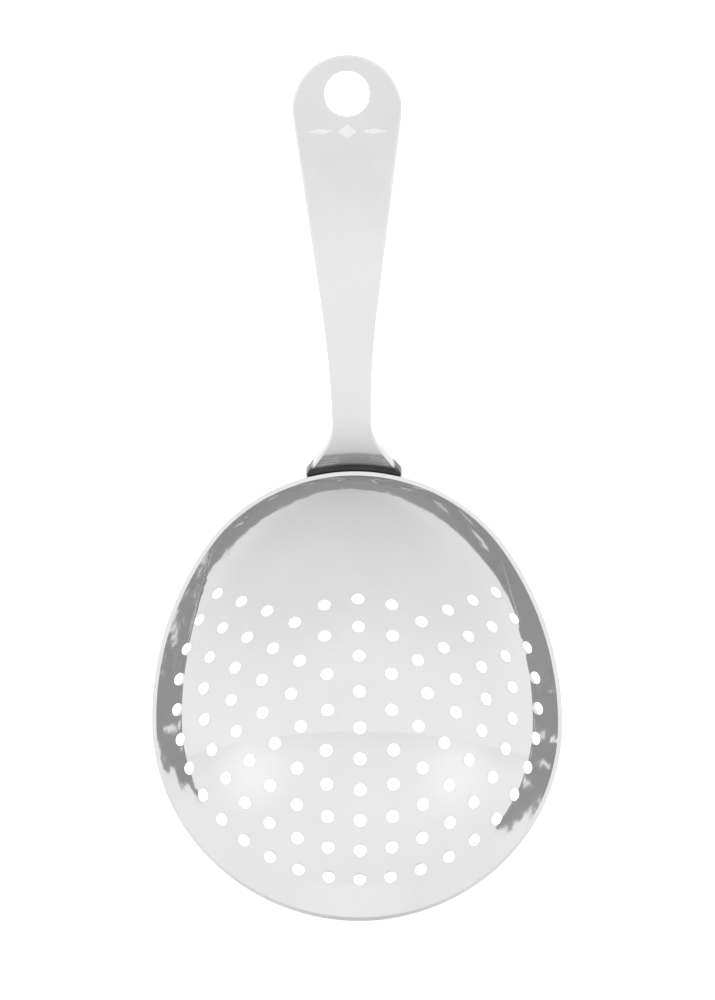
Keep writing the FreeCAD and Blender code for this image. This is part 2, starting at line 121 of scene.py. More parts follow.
def rim_loop(count):
    """Points of the inner face's outline in the rim plane, anticlockwise, and inward normals."""
    quarter = INNER_RIM * math.pi / 2
    side = SIDE_RADIUS * SIDE_TURN
    tip = INNER_TIP * (math.pi / 2 - SIDE_TURN)
    half = quarter + side + tip
    along = (np.arange(count) / count * 2 - 1) * half
    run = np.abs(along)
    angle_round = run / INNER_RIM - math.pi / 2
    angle_side = (run - quarter) / SIDE_RADIUS
    angle_tip = SIDE_TURN + (run - quarter - side) / INNER_TIP
    on_round = run < quarter
    on_side = ~on_round & (run < quarter + side)
    angle = np.where(on_round, angle_round, np.where(on_side, angle_side, angle_tip))
    radius = np.where(on_round, INNER_RIM, np.where(on_side, SIDE_RADIUS, INNER_TIP))
    centre_x = np.where(on_side, SIDE_CENTRE, 0.0)
    centre_z = np.where(on_round | on_side, 0.0, TIP_CENTRE)
    mirror = np.where(along < 0, -1.0, 1.0)
    points = np.stack([(centre_x + radius * np.cos(angle)) * mirror,
                       centre_z + radius * np.sin(angle)], axis=-1)
    inward = np.stack([-np.cos(angle) * mirror, -np.sin(angle)], axis=-1)
    return points, inward


def rim_inset(flat):
    """How far points lie inside the inner face's outline, and the inward direction there."""
    across, up = np.abs(flat[:, 0]), flat[:, 1]
    from_side = np.stack([across - SIDE_CENTRE, up], axis=-1)
    from_tip = np.stack([across, up - TIP_CENTRE], axis=-1)
    from_round = np.stack([across, up], axis=-1)
    on_round = up < 0
    on_side = ~on_round & (np.arctan2(up, from_side[:, 0]) < SIDE_TURN)
    vector = np.where(on_round[:, None], from_round, np.where(on_side[:, None], from_side, from_tip))
    radius = np.where(on_round, INNER_RIM, np.where(on_side, SIDE_RADIUS, INNER_TIP))
    length = np.maximum(np.linalg.norm(vector, axis=1), 1e-9)
    inward = -vector / length[:, None]
    inward[:, 0] *= np.where(flat[:, 0] < 0, -1.0, 1.0)
    return radius - length, inward


def dome_depth(flat):
    """Depth of the dome under points of the rim plane, and its slopes along X and Z."""
    rise = flat[:, 1]
    squeeze = np.where(rise > 0, 1 / DOME_STRETCH ** 2, 1.0)
    height = np.sqrt(np.maximum(DOME_RADIUS ** 2 - flat[:, 0] ** 2 - squeeze * rise ** 2, 1e-6))
    slopes = np.stack([-flat[:, 0] / height, -squeeze * rise / height], axis=-1)
    return BOWL_DEPTH - DOME_RADIUS + height, slopes


def knuckle(edge, inward):
    """The rolling-ball section between wall and dome: where it starts and ends, and its centre."""
    low = np.zeros(len(edge))
    high = np.full(len(edge), KNUCKLE_RANGE)
    for _ in range(HALVINGS):
        middle = (low + high) / 2
        depth, slopes = dome_depth(edge + inward * middle[:, None])
        slope = np.sum(slopes * inward, axis=1)
        norm = np.sqrt(1 + slope ** 2)
        centre_s = middle + KNUCKLE_RADIUS * slope / norm
        centre_y = depth - KNUCKLE_RADIUS / norm
        too_far = centre_s * COS_DRAFT - centre_y * SIN_DRAFT > KNUCKLE_RADIUS
        high = np.where(too_far, middle, high)
        low = np.where(too_far, low, middle)
    return centre_s - KNUCKLE_RADIUS * COS_DRAFT, middle, centre_s, centre_y


def inner_depth(flat):
    """Depth of the bowl's inner face under points of the rim plane."""
    inset, inward = rim_inset(flat)
    depth, _ = dome_depth(flat)
    near = inset < KNUCKLE_REACH
    edge = flat[near] - inward[near] * inset[near, None]
    start, end, centre_s, centre_y = knuckle(edge, inward[near])
    s = inset[near]
    ball = centre_y + np.sqrt(np.maximum(KNUCKLE_RADIUS ** 2 - (s - centre_s) ** 2, 0))
    wall = s / TAN_DRAFT
    depth[near] = np.where(s < start, wall, np.where(s < end, ball, depth[near]))
    return depth


def bowl_face(flat):
    """Points of the bowl's inner face, and the unit vectors from there into the sheet."""
    step = 1e-3
    depth = inner_depth(flat)
    slope_x = (inner_depth(flat + [step, 0]) - inner_depth(flat - [step, 0])) / (2 * step)
    slope_z = (inner_depth(flat + [0, step]) - inner_depth(flat - [0, step])) / (2 * step)
    into = np.stack([-slope_x, np.ones(len(flat)), -slope_z], axis=-1)
    into /= np.linalg.norm(into, axis=1)[:, None]
    return np.stack([flat[:, 0], depth, flat[:, 1]], axis=-1), into


# ---------------------------------------------------------------- sheet metal as a mesh

EDGE_STEPS = 4


class Skin:
    """A mesh in the making: points, their true normals, and faces."""

    def __init__(self):
        self.points = []
        self.normals = []
        self.faces = []
        self.tinted = []

    def add(self, points, normals):
        """Add points and return their numbers."""
        first = len(self.points)
        self.points.extend(points)
        self.normals.extend(normals)
        return np.arange(first, first + len(points))

    def strip(self, ring, following, void_inside):
        """Join two closed rings of equal length with quads."""
        nxt = np.roll(ring, -1)
        nxt_following = np.roll(following, -1)
        corners = (ring, nxt, nxt_following, following)
        if not void_inside:
            corners = (nxt, ring, following, nxt_following)
        self.faces.extend(np.stack(corners, axis=-1).tolist())

    def piece(self, name, materials):
        """Turn it into a Blender object with true normals, in metres."""
        mesh = bpy.data.meshes.new(name)
        mesh.from_pydata((np.array(self.points) * MM).tolist(), [], self.faces)
        mesh.shade_smooth()
        for material in materials:
            mesh.materials.append(material)
        for face in self.tinted:
            mesh.polygons[face].material_index = 1
        normals = np.array(self.normals)
        normals /= np.linalg.norm(normals, axis=1)[:, None]
        mesh.normals_split_custom_set_from_vertices(normals.tolist())
        mesh.update()
        piece = bpy.data.objects.new(name, mesh)
        bpy.context.scene.collection.objects.link(piece)
        return piece


def within(loop, point):
    """True if a flat point lies inside a closed loop."""
    ahead = np.roll(loop, -1, axis=0)
    spans = (loop[:, 1] > point[1]) != (ahead[:, 1] > point[1])
    share = (point[1] - loop[spans, 1]) / (ahead[spans, 1] - loop[spans, 1])
    crossing = loop[spans, 0] + share * (ahead[spans, 0] - loop[spans, 0])
    return np.count_nonzero(crossing > point[0]) % 2 == 1


def triangles(points, loops, marks):
    """Triangles of a field of flat points, keeping the loops' edges.

    The first loop is the field's outline. marks holds the number of the hole that a point
    lies on, or -1.
    """
    border = len(loops[0])
    edges = [(int(a), int(b)) for loop in loops for a, b in zip(loop, np.roll(loop, -1))]
    flat = [Vector(point) for point in points]
    _, _, faces, origins, _, _ = delaunay_2d_cdt(flat, edges, [], 0, 1e-7)
    source = [origin[0] for origin in origins]
    kept = []
    for face in faces:
        corners = [source[corner] for corner in face]
        holes = {int(marks[corner]) for corner in corners}
        in_hole = len(holes) == 1 and holes != {-1}
        middle = points[corners].mean(axis=0)
        in_field = max(corners) >= border or within(points[:border], middle)
        if in_field and not in_hole:
            kept.append(corners)
    return kept


def edge_rings(skin, face, edge_at, ring, far_ring, rounding, thickness, void_inside):
    """Rounded front edge, wall and rounded back edge of a sheet, between two face rings.

    edge_at gives the ring's flat points after a shift towards the void.
    """
    start, _ = face(edge_at(0.0))
    end, _ = face(edge_at(rounding))
    out = end - start
    out /= np.linalg.norm(out, axis=1)[:, None]
    angles = [math.pi / 2 * step / EDGE_STEPS for step in range(1, EDGE_STEPS + 1)]
    profile = [(rounding * math.sin(a), rounding * (1 - math.cos(a)), a, 1) for a in angles]
    profile += [(shift, thickness - depth, a, -1) for shift, depth, a, _ in reversed(profile)]
    last = ring
    for shift, depth, angle, side in profile:
        points, into = face(edge_at(shift))
        normals = -side * math.cos(angle) * into + math.sin(angle) * out
        current = skin.add(points + into * depth, normals)
        skin.strip(last, current, void_inside)
        last = current
    skin.strip(last, far_ring, void_inside)


# ---------------------------------------------------------------- bowl

RIM_COUNT = 360
FIELD_INSET = 2.3
FIELD_ROWS = (2.65, 3.1, 3.6, 4.2, 5.0)
WALL_ROWS = 18
FIELD_PITCH = 1.0
HOLE_COUNT = 36
HOLE_COLLAR = 0.35
# Loose points keep this many collars away from a hole's edge.
COLLAR_GAP = 1.7
# Columns and rows of the triangular grid that covers the bowl.
GRID_COLUMNS = np.arange(-40, 41)
GRID_ROWS = np.arange(-48, 64)
RIM_STEPS = 6


def perforation_places():
    """X and Z of every perforation: rings of 6, 12, 18 ... holes around one centre hole."""
    places = [(0.0, PERFORATION_RISE)]
    for ring in range(1, len(RING_REACH)):
        radius = DOME_RADIUS * math.sin((FIRST_RING + (ring - 1) * RING_PITCH) / DOME_RADIUS)
        reach = RING_REACH[ring]
        steps = range(6 * ring) if reach is None else range(-reach, reach + 1)
        for step in steps:
            angle = 2 * math.pi * step / (6 * ring)
            places.append((radius * math.sin(angle), PERFORATION_RISE - radius * math.cos(angle)))
    return places


class Hole:
    """One perforation, punched square to the dome."""

    def __init__(self, x, z):
        centre = BOWL_DEPTH - DOME_RADIUS
        squeeze = 1 / DOME_STRETCH ** 2 if z > 0 else 1.0
        radius = DOME_RADIUS + SHEET / 2
        height = math.sqrt(radius ** 2 - x ** 2 - squeeze * z ** 2)
        self.axis = np.array([x, height, squeeze * z])
        self.axis /= np.linalg.norm(self.axis)
        middle = np.array([x, centre + height, z])
        self.centre = middle - self.axis * SHEET / 2
        sideways = np.array([-self.axis[2], 0.0, self.axis[0]])
        if np.linalg.norm(sideways) < 1e-6:
            sideways = np.array([0.0, 0.0, 1.0])
        self.sideways = sideways / np.linalg.norm(sideways)
        self.outward = np.cross(self.sideways, self.axis)
        if self.outward @ np.array([self.axis[0], 0.0, self.axis[2]]) < 0:
            self.outward = -self.outward

    def ring(self, radius):
        """Flat points of a circle on the dome around the hole, anticlockwise from the front."""
        turn = np.arange(HOLE_COUNT) / HOLE_COUNT * 2 * math.pi
        sag = radius ** 2 / (2 * DOME_RADIUS)
        circle = (self.centre + radius * np.outer(np.cos(turn), self.outward)
                  + radius * np.outer(np.sin(turn), self.sideways) - sag * self.axis)
        flat = circle[:, [0, 2]]
        a, b = flat[0] - flat.mean(axis=0), flat[1] - flat.mean(axis=0)
        return flat if a[0] * b[1] - a[1] * b[0] > 0 else np.roll(flat[::-1], 1, axis=0)

    def clear_of(self, flat, radius):
        """True for flat points further than a radius from the hole's axis, along the dome."""
        offset = flat - self.centre[[0, 2]]
        along = offset @ self.outward[[0, 2]] / (self.outward[[0, 2]] @ self.outward[[0, 2]])
        across = offset @ self.sideways[[0, 2]] / (self.sideways[[0, 2]] @ self.sideways[[0, 2]])
        return np.hypot(along, across) > radius


def rim_profile():
    """Section of the rim's rounded edge: inset and depth, and the normal's two parts."""
    rows = []
    width = SHEET / COS_DRAFT
    inner = -RIM_ROUNDING * (1 - SIN_DRAFT) / COS_DRAFT
    outer = -width + RIM_ROUNDING * (1 + SIN_DRAFT) / COS_DRAFT
    for step in range(RIM_STEPS + 1):
        angle = -WALL_DRAFT + (WALL_DRAFT - math.pi / 2) * step / RIM_STEPS
        rows.append((inner, angle))
    for step in range(RIM_STEPS + 1):
        angle = -math.pi / 2 - (math.pi / 2 + WALL_DRAFT) * step / RIM_STEPS
        rows.append((outer, angle))
    return [(centre + RIM_ROUNDING * math.cos(angle), RIM_ROUNDING * (1 + math.sin(angle)),
             math.cos(angle), math.sin(angle)) for centre, angle in rows]


def bowl_skin():
    """The bowl: perforated field, knuckle, wall and rim, inside and outside."""
    skin = Skin()
    edge, inward = rim_loop(RIM_COUNT)
    holes = [Hole(x, z) for x, z in perforation_places()]
    start_radius = PERFORATION / 2 + PUNCH_ROUNDING

    field = [edge + inward * FIELD_INSET]
    marks = [np.full(RIM_COUNT, -1)]
    for number, hole in enumerate(holes):
        field.append(hole.ring(start_radius))
        marks.append(np.full(HOLE_COUNT, number))
        field.append(hole.ring(start_radius + HOLE_COLLAR))
        marks.append(np.full(HOLE_COUNT, -1))
    loose = [edge + inward * row for row in FIELD_ROWS]
    grid = np.stack(np.meshgrid(GRID_COLUMNS, GRID_ROWS), axis=-1).reshape(-1, 2)
    hexagons = grid * [FIELD_PITCH, FIELD_PITCH * math.sqrt(3) / 2]
    hexagons[:, 0] += (grid[:, 1] % 2) * FIELD_PITCH / 2
    inset, _ = rim_inset(hexagons)
    loose.append(hexagons[inset > FIELD_ROWS[-1] + FIELD_PITCH / 2])
    loose = np.concatenate(loose)
    for hole in holes:
        loose = loose[hole.clear_of(loose, start_radius + COLLAR_GAP * HOLE_COLLAR)]
    field.append(loose)
    marks.append(np.full(len(loose), -1))
    field = np.concatenate(field)
    marks = np.concatenate(marks)

    points, into = bowl_face(field)
    inside = skin.add(points, -into)
    outside = skin.add(points + into * SHEET, into)
    loops = [np.arange(RIM_COUNT)]
    for number in range(len(holes)):
        first = RIM_COUNT + number * 2 * HOLE_COUNT
        loops.append(np.arange(first, first + HOLE_COUNT))
    for corners in triangles(field, loops, marks):
        skin.faces.append([int(inside[c]) for c in corners])
        skin.faces.append([int(outside[c]) for c in reversed(corners)])

    for hole, loop in zip(holes, loops[1:]):
        edge_rings(skin, bowl_face, lambda shift, hole=hole: hole.ring(start_radius - shift),
                   inside[loop], outside[loop], PUNCH_ROUNDING, SHEET, True)

    profile = rim_profile()
    rim_start = profile[0][0]
    rows = FIELD_INSET + (rim_start - FIELD_INSET) * np.arange(1, WALL_ROWS + 1) / WALL_ROWS
    last = inside[loops[0]]
    backs = []
    for row in rows:
        points, into = bowl_face(edge + inward * row)
        current = skin.add(points, -into)
        backs.append((points + into * SHEET, into))
        skin.strip(last, current, False)
        last = current
    for inset_at, depth, normal_s, normal_y in profile[1:]:
        flat = edge + inward * inset_at
        points = np.stack([flat[:, 0], np.full(RIM_COUNT, depth), flat[:, 1]], axis=-1)
        normals = np.stack([inward[:, 0] * normal_s, np.full(RIM_COUNT, normal_y),
                            inward[:, 1] * normal_s], axis=-1)
        current = skin.add(points, normals)
        skin.strip(last, current, False)
        last = current
    for points, normals in reversed(backs):
        current = skin.add(points, normals)
        skin.strip(last, current, False)
        last = current
    skin.strip(last, outside[loops[0]], False)
    return skin


# ---------------------------------------------------------------- handle

FOOT_EDGE = TIP_RADIUS - FOOT_DEPTH * TAN_DRAFT
FOOT_RUN = (FOOT_DEPTH + BEND_START) / COS_DRAFT
BEND_RUN = BEND_RADIUS * (math.pi / 2 - WALL_DRAFT)
BEND_Y = -BEND_START + BEND_RADIUS * SIN_DRAFT
BEND_RHO = FOOT_EDGE + FOOT_RUN * SIN_DRAFT + BEND_RADIUS * COS_DRAFT


def strap_section(run):
    """Y and distance from the tip's axis along the strap's front face, and the way through it."""
    turn = np.clip((run - FOOT_RUN) / BEND_RADIUS, 0, BEND_RUN / BEND_RADIUS) + WALL_DRAFT
    on_foot = np.minimum(run, FOOT_RUN)
    on_handle = np.maximum(run - FOOT_RUN - BEND_RUN, 0)
    bent = run > FOOT_RUN
    y = np.where(bent, BEND_Y - BEND_RADIUS * np.sin(turn), FOOT_DEPTH - on_foot * COS_DRAFT)
    rho = np.where(bent, BEND_RHO - BEND_RADIUS * np.cos(turn) + on_handle,
                   FOOT_EDGE + on_foot * SIN_DRAFT)
    return y, rho, np.sin(turn), np.cos(turn)


def strap_run(x, z):
    """Run along the strap's front face of the point seen at X and Z."""
    rho = np.hypot(x, z - TIP_CENTRE)
    lean = (BEND_RHO - rho) / BEND_RADIUS
    bent = FOOT_RUN + BEND_RADIUS * (np.arccos(np.clip(lean, 0, COS_DRAFT)) - WALL_DRAFT)
    on_foot = (rho - FOOT_EDGE) / SIN_DRAFT
    on_handle = FOOT_RUN + BEND_RUN + rho - BEND_RHO
    return np.where(lean > COS_DRAFT, on_foot, np.where(lean > 0, bent, on_handle))


def strap_face(flat):
    """Points of the strap's front face at X and run, and the unit vectors into the strap."""
    x = flat[:, 0]
    y, rho, through_y, through_rho = strap_section(flat[:, 1])
    up = np.sqrt(rho ** 2 - x ** 2)
    points = np.stack([x, y, TIP_CENTRE + up], axis=-1)
    into = np.stack([through_rho * x / rho, through_y, through_rho * up / rho], axis=-1)
    return points, into


def arc(centre, radius, start, end, step=0.25):
    """Points of an arc, both ends included."""
    count = max(2, int(abs(end - start) * radius / step))
    angle = np.linspace(start, end, count + 1)
    return np.stack([centre[0] + radius * np.cos(angle), centre[1] + radius * np.sin(angle)], axis=-1)


def strap_outline():
    """The strap's outline as X and run, from the middle of the toe, anticlockwise."""
    narrow = np.array([NECK_WIDTH / 2, TIP_HEIGHT + NECK_OFFSET])
    end_centre = np.array([0.0, HANDLE_TOP - END_RADIUS])
    neck_centre = narrow + [NECK_RADIUS, 0]
    flare_centre = narrow + [FLARE_RADIUS, 0]
    between = neck_centre - end_centre
    tangent = (math.atan2(between[1], between[0])
               + math.acos((END_RADIUS + NECK_RADIUS) / np.linalg.norm(between)))
    slope = np.array([math.cos(FLARE_SLOPE), math.sin(FLARE_SLOPE)])
    flare_end = flare_centre - slope * FLARE_RADIUS
    shoulder_x = FOOT_WIDTH / 2 - FOOT_CORNER
    shoulder_top_x = shoulder_x + slope[0] * FOOT_CORNER
    shoulder_top_z = flare_end[1] - (shoulder_top_x - flare_end[0]) / math.tan(FLARE_SLOPE)
    shoulder = np.array([shoulder_x, shoulder_top_z - slope[1] * FOOT_CORNER])
    seen = np.concatenate([
        arc(shoulder, FOOT_CORNER, 0, FLARE_SLOPE),
        arc(flare_centre, FLARE_RADIUS, math.pi + FLARE_SLOPE, math.pi),
        arc(neck_centre, NECK_RADIUS, math.pi, math.pi + tangent),
        arc(end_centre, END_RADIUS, tangent, math.pi / 2),
    ])
    upper = np.stack([seen[:, 0], strap_run(seen[:, 0], seen[:, 1])], axis=-1)
    corner = arc((shoulder_x, FOOT_CORNER), FOOT_CORNER, -math.pi / 2, 0)
    right = np.concatenate([[[0.0, 0.0]], corner, upper])
    left = right[-2:0:-1] * [-1, 1]
    return np.concatenate([right, left])


def even_loop(loop, pitch):
    """The closed loop again with evenly spaced points, and its outward normals."""
    closed = np.concatenate([loop, loop[:1]])
    length = np.concatenate([[0], np.cumsum(np.linalg.norm(np.diff(closed, axis=0), axis=1))])
    count = 2 * round(length[-1] / pitch / 2)
    at = np.arange(count) / count * length[-1]
    points = np.stack([np.interp(at, length, closed[:, axis]) for axis in (0, 1)], axis=-1)
    ahead = np.roll(points, -1, axis=0) - np.roll(points, 1, axis=0)
    ahead /= np.linalg.norm(ahead, axis=1)[:, None]
    return points, np.stack([ahead[:, 1], -ahead[:, 0]], axis=-1)


# The ornament near the hanging hole: a diamond between two long lozenges.
ORNAMENT_HEIGHT = HANG_HOLE_HEIGHT - 6.7
DIAMOND = (0.0, 1.7, 1.3)
LOZENGES = ((-4.9, 2.6, 0.5), (4.9, 2.6, 0.5))


def lozenge(centre_x, half_width, half_height):
    """A lozenge's four corners as X and run, with points along its sides."""
    corners = np.array([[half_width, 0], [0, half_height], [-half_width, 0], [0, -half_height]])
    share = np.arange(6)[:, None] / 6
    sides = [a + (b - a) * share for a, b in zip(corners, np.roll(corners, -1, axis=0))]
    seen = np.concatenate(sides) + [centre_x, ORNAMENT_HEIGHT]
    return np.stack([seen[:, 0], strap_run(seen[:, 0], seen[:, 1])], axis=-1)


def in_ornament(point):
    """True where X and run lie inside one of the ornament's lozenges."""
    for centre_x, half_width, half_height in (DIAMOND, *LOZENGES):
        rho = math.hypot(centre_x, ORNAMENT_HEIGHT - TIP_CENTRE)
        middle = FOOT_RUN + BEND_RUN + rho - BEND_RHO
        x, up = abs(point[0] - centre_x), abs(point[1] - middle)
        if x / half_width + up / half_height < 1:
            return True
    return False


OUTLINE_PITCH = 0.4
HANG_HOLE_COUNT = 72
BEND_PITCH = 0.6
HANDLE_PITCH = 1.2
COLUMN_PITCH = 0.5
MARK_CLEARANCE = 0.3


def handle_skin():
    """The handle strap with its rounded outline, hanging hole and etched ornament."""
    skin = Skin()
    outline, outward = even_loop(strap_outline(), OUTLINE_PITCH)
    count = len(outline)
    turn = np.arange(HANG_HOLE_COUNT) / HANG_HOLE_COUNT * 2 * math.pi
    circle = np.stack([np.cos(turn), np.sin(turn)], axis=-1)

    def outline_at(shift):
        return outline - outward * (STRAP_ROUNDING - shift)

    def hole_at(shift):
        seen = circle * (HANG_HOLE / 2 + HOLE_ROUNDING - shift) + [0, HANG_HOLE_HEIGHT]
        return np.stack([seen[:, 0], strap_run(seen[:, 0], seen[:, 1])], axis=-1)

    border = outline_at(0.0)
    right = border[:count // 2]
    bend_end = FOOT_RUN + BEND_RUN + 2
    top_run = strap_run(0.0, HANDLE_TOP) - 1
    runs = np.concatenate([np.arange(1.0, bend_end, BEND_PITCH),
                           np.arange(bend_end, top_run, HANDLE_PITCH)])
    grid = []
    for number, run in enumerate(runs):
        width = float(np.interp(run, right[:, 1], right[:, 0])) - OUTLINE_PITCH
        columns = max(2, round(width / COLUMN_PITCH))
        grid.append(np.stack([np.linspace(-width, width, columns + number % 2),
                              np.full(columns + number % 2, run)], axis=-1))
    grid = np.concatenate(grid)
    hole_run = strap_run(0.0, HANG_HOLE_HEIGHT)
    grid = grid[np.hypot(grid[:, 0], grid[:, 1] - hole_run) > HANG_HOLE / 2 + HOLE_ROUNDING + BEND_PITCH]
    marks_of = [lozenge(*shape) for shape in (DIAMOND, *LOZENGES)]
    near_mark = np.abs(grid[:, 1] - strap_run(0.0, ORNAMENT_HEIGHT)) < DIAMOND[2] + MARK_CLEARANCE
    grid = grid[~near_mark | (np.abs(grid[:, 0]) > LOZENGES[1][0] + LOZENGES[1][1] + MARK_CLEARANCE)]

    field = np.concatenate([border, hole_at(0.0), *marks_of, grid])
    marks = np.full(len(field), -1)
    marks[count:count + len(turn)] = 0
    loops = [np.arange(count), np.arange(count, count + len(turn))]
    first = count + len(turn)
    for shape in marks_of:
        loops.append(np.arange(first, first + len(shape)))
        first += len(shape)

    points, into = strap_face(field)
    front = skin.add(points, -into)
    back = skin.add(points + into * STRAP, into)
    for corners in triangles(field, loops, marks):
        if in_ornament(field[corners].mean(axis=0)):
            skin.tinted.append(len(skin.faces))
        skin.faces.append([int(front[c]) for c in corners])
        skin.faces.append([int(back[c]) for c in reversed(corners)])
    edge_rings(skin, strap_face, outline_at, front[loops[0]], back[loops[0]],
               STRAP_ROUNDING, STRAP, False)
    edge_rings(skin, strap_face, hole_at, front[loops[1]], back[loops[1]],
               HOLE_ROUNDING, STRAP, True)
    return skin


# ---------------------------------------------------------------- materials

# Sockets of a colour mix node.
MIX_A, MIX_B, MIX_RESULT = 6, 7, 2
# The painted shade in the gap where the handle's foot meets the bowl wall ends at this depth and this
# height, each over a short fade.
SEAM_SHADE_BACK = (0.3, 0.6)
SEAM_SHADE_TOP = (51.2, 51.5)
# Colour of that painted shade in the gap under the handle's foot.
SEAM_SHADE_COLOUR = (0.02, 0.02, 0.022, 1.0)
# Depths between which the ripples of the wall fade out.
RIPPLE_FADE = (1.5, 5.0)

def node(tree, kind, inputs=(), **settings):
    """Add a shader node, set its properties and its inputs, and link what is a socket."""
    made = tree.nodes.new(kind)
    for name, value in settings.items():
        setattr(made, name, value)
    for name, value in dict(inputs).items():
        if isinstance(value, bpy.types.NodeSocket):
            tree.links.new(value, made.inputs[name])
        else:
            made.inputs[name].default_value = value
    return made


def stretched_noise(tree, place, scale, turn, size):
    """Noise drawn out along one direction, for polishing marks."""
    mapping = node(tree, "ShaderNodeMapping", {"Vector": place, "Scale": scale, "Rotation": turn})
    return node(tree, "ShaderNodeTexNoise", {"Vector": mapping.outputs["Vector"], "Scale": size,
                                             "Detail": 3.0, "Roughness": 0.6})


def ranged(tree, value, low, high, start=0.35, end=0.65):
    """A value mapped from start..end to low..high."""
    mapped = node(tree, "ShaderNodeMapRange", {"Value": value, "From Min": start, "From Max": end,
                                               "To Min": low, "To Max": high})
    return mapped.outputs["Result"]


def steel(name, tint, roughness, waviness, scratch, wall_waviness=0.0, seam_shade=None):
    """Polished stainless steel: faint haze, polishing marks and the sheet's slow waviness.

    wall_waviness is added near the rim plane, where pressing ripples the sheet. The last argument holds two
    depths between which painted shade darkens the steel, towards the gap where the handle's foot meets the
    bowl wall.
    """
    material = bpy.data.materials.new(name)
    material.use_nodes = True
    tree = material.node_tree
    shader = tree.nodes["Principled BSDF"]
    shader.inputs["Metallic"].default_value = 1.0
    place = node(tree, "ShaderNodeTexCoord").outputs["Object"]
    depth = node(tree, "ShaderNodeSeparateXYZ", {"Vector": place}).outputs["Y"]

    haze = node(tree, "ShaderNodeTexNoise", {"Vector": place, "Scale": 55.0, "Detail": 4.0,
                                             "Roughness": 0.55})
    colour = node(tree, "ShaderNodeMix", {"Factor": ranged(tree, haze.outputs["Fac"], 0.0, 1.0)},
                  data_type="RGBA")
    colour.inputs[MIX_A].default_value = (*[part * 0.975 for part in tint], 1.0)
    colour.inputs[MIX_B].default_value = (*[min(1.0, part * 1.02) for part in tint], 1.0)
    tinted = colour.outputs[MIX_RESULT]
    # Painted shade: the base colour darkens towards the gap between the handle's foot and the bowl wall,
    # where shade falls.
    if seam_shade:
        up = node(tree, "ShaderNodeSeparateXYZ", {"Vector": place}).outputs["Z"]
        from_front = ranged(tree, depth, 0.0, 0.93, seam_shade[0] * MM, seam_shade[1] * MM)
        to_back = ranged(tree, depth, 1.0, 0.0, SEAM_SHADE_BACK[0] * MM, SEAM_SHADE_BACK[1] * MM)
        to_top = ranged(tree, up, 1.0, 0.0, SEAM_SHADE_TOP[0] * MM, SEAM_SHADE_TOP[1] * MM)
        inside = node(tree, "ShaderNodeMath", {0: to_back, 1: to_top}, operation="MULTIPLY")
        shade_share = node(tree, "ShaderNodeMath", {0: from_front, 1: inside.outputs["Value"]},
                          operation="MULTIPLY").outputs["Value"]
        shaded_seam = node(tree, "ShaderNodeMix", {"Factor": shade_share}, data_type="RGBA")
        tree.links.new(tinted, shaded_seam.inputs[MIX_A])
        shaded_seam.inputs[MIX_B].default_value = SEAM_SHADE_COLOUR
        tinted = shaded_seam.outputs[MIX_RESULT]
    tree.links.new(tinted, shader.inputs["Base Color"])

    marks = stretched_noise(tree, place, (1.0, 1.0, 0.05), (0.0, 0.0, 0.0), 5200.0)
    crossing = stretched_noise(tree, place, (0.05, 1.0, 1.0), (0.3, 0.5, 0.2), 3900.0)
    rough = node(tree, "ShaderNodeMath",
                 {0: ranged(tree, haze.outputs["Fac"], roughness * 0.75, roughness * 1.15),
                  1: ranged(tree, marks.outputs["Fac"], -0.012, 0.02)}, operation="ADD")
    tree.links.new(rough.outputs["Value"], shader.inputs["Roughness"])

    slow = node(tree, "ShaderNodeTexNoise", {"Vector": place, "Scale": 95.0, "Detail": 2.0,
                                             "Roughness": 0.5})
    wave = node(tree, "ShaderNodeBump", {"Height": slow.outputs["Fac"], "Strength": 1.0,
                                         "Distance": waviness * MM})
    if wall_waviness:
        ripple = node(tree, "ShaderNodeTexNoise", {"Vector": place, "Scale": 210.0, "Detail": 1.5,
                                                   "Roughness": 0.5})
        near_rim = ranged(tree, depth, 1.0, 0.0, RIPPLE_FADE[0] * MM, RIPPLE_FADE[1] * MM)
        centred = ranged(tree, ripple.outputs["Fac"], -0.5, 0.5, 0.0, 1.0)
        height = node(tree, "ShaderNodeMath", {0: centred, 1: near_rim}, operation="MULTIPLY")
        wave = node(tree, "ShaderNodeBump", {"Height": height.outputs["Value"], "Strength": 1.0,
                                             "Distance": wall_waviness * MM,
                                             "Normal": wave.outputs["Normal"]})
    fine = node(tree, "ShaderNodeBump", {"Height": marks.outputs["Fac"], "Strength": 1.0,
                                         "Distance": scratch * MM, "Normal": wave.outputs["Normal"]})
    finest = node(tree, "ShaderNodeBump", {"Height": crossing.outputs["Fac"], "Strength": 1.0,
                                           "Distance": scratch * MM / 2,
                                           "Normal": fine.outputs["Normal"]})
    tree.links.new(finest.outputs["Normal"], shader.inputs["Normal"])
    return material


def etched_steel():
    """Steel after etching: darker, matt and finely pitted."""
    material = bpy.data.materials.new("etched_steel")
    material.use_nodes = True
    tree = material.node_tree
    shader = tree.nodes["Principled BSDF"]
    shader.inputs["Metallic"].default_value = 1.0
    place = node(tree, "ShaderNodeTexCoord").outputs["Object"]
    pits = node(tree, "ShaderNodeTexNoise", {"Vector": place, "Scale": 9000.0, "Detail": 3.0})
    colour = node(tree, "ShaderNodeMix", {"Factor": ranged(tree, pits.outputs["Fac"], 0.0, 1.0)},
                  data_type="RGBA")
    colour.inputs[MIX_A].default_value = (0.34, 0.34, 0.35, 1.0)
    colour.inputs[MIX_B].default_value = (0.44, 0.44, 0.45, 1.0)
    tree.links.new(colour.outputs[MIX_RESULT], shader.inputs["Base Color"])
    tree.links.new(ranged(tree, pits.outputs["Fac"], 0.42, 0.55), shader.inputs["Roughness"])
    bump = node(tree, "ShaderNodeBump", {"Height": pits.outputs["Fac"], "Strength": 0.6,
                                         "Distance": 0.004 * MM})
    tree.links.new(bump.outputs["Normal"], shader.inputs["Normal"])
    return material


STEEL_TINT = (0.345, 0.345, 0.347)

